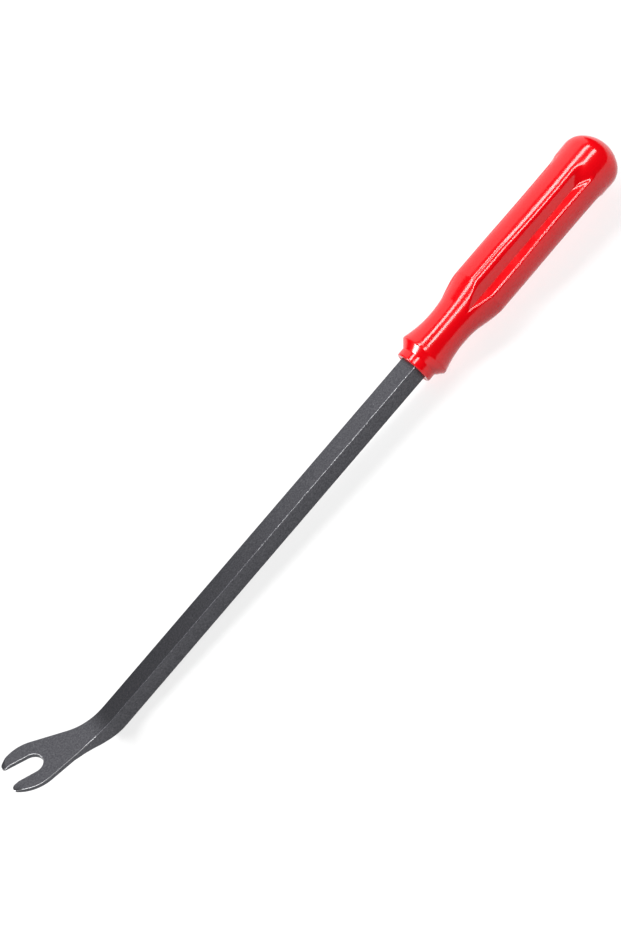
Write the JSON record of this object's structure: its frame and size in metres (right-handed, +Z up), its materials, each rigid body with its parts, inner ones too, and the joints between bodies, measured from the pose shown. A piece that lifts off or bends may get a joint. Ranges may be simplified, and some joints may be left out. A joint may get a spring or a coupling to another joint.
{
  "type": "trim removal tool",
  "caption": "Hand pry tool for trim clips: a square steel bar bent up at the end into a flared, notched fork blade, fixed in a waisted and fluted moulded handle.",
  "frame": {"origin": "floor point under the middle of the tool as it lies on its bend and its grip", "axes": "+X along the tool toward the handle's end, +Y across it, +Z up, out of the fork's face"},
  "size_m": [0.2806, 0.0206, 0.0227],
  "materials": {
    "blackened_steel": "black oxide over a fine grain, satin",
    "red_plastic": "moulded, glossy"
  },
  "bodies": {
    "root": {"pry_bar": "blackened_steel", "handle": "red_plastic"}
  },
  "joints": []
}
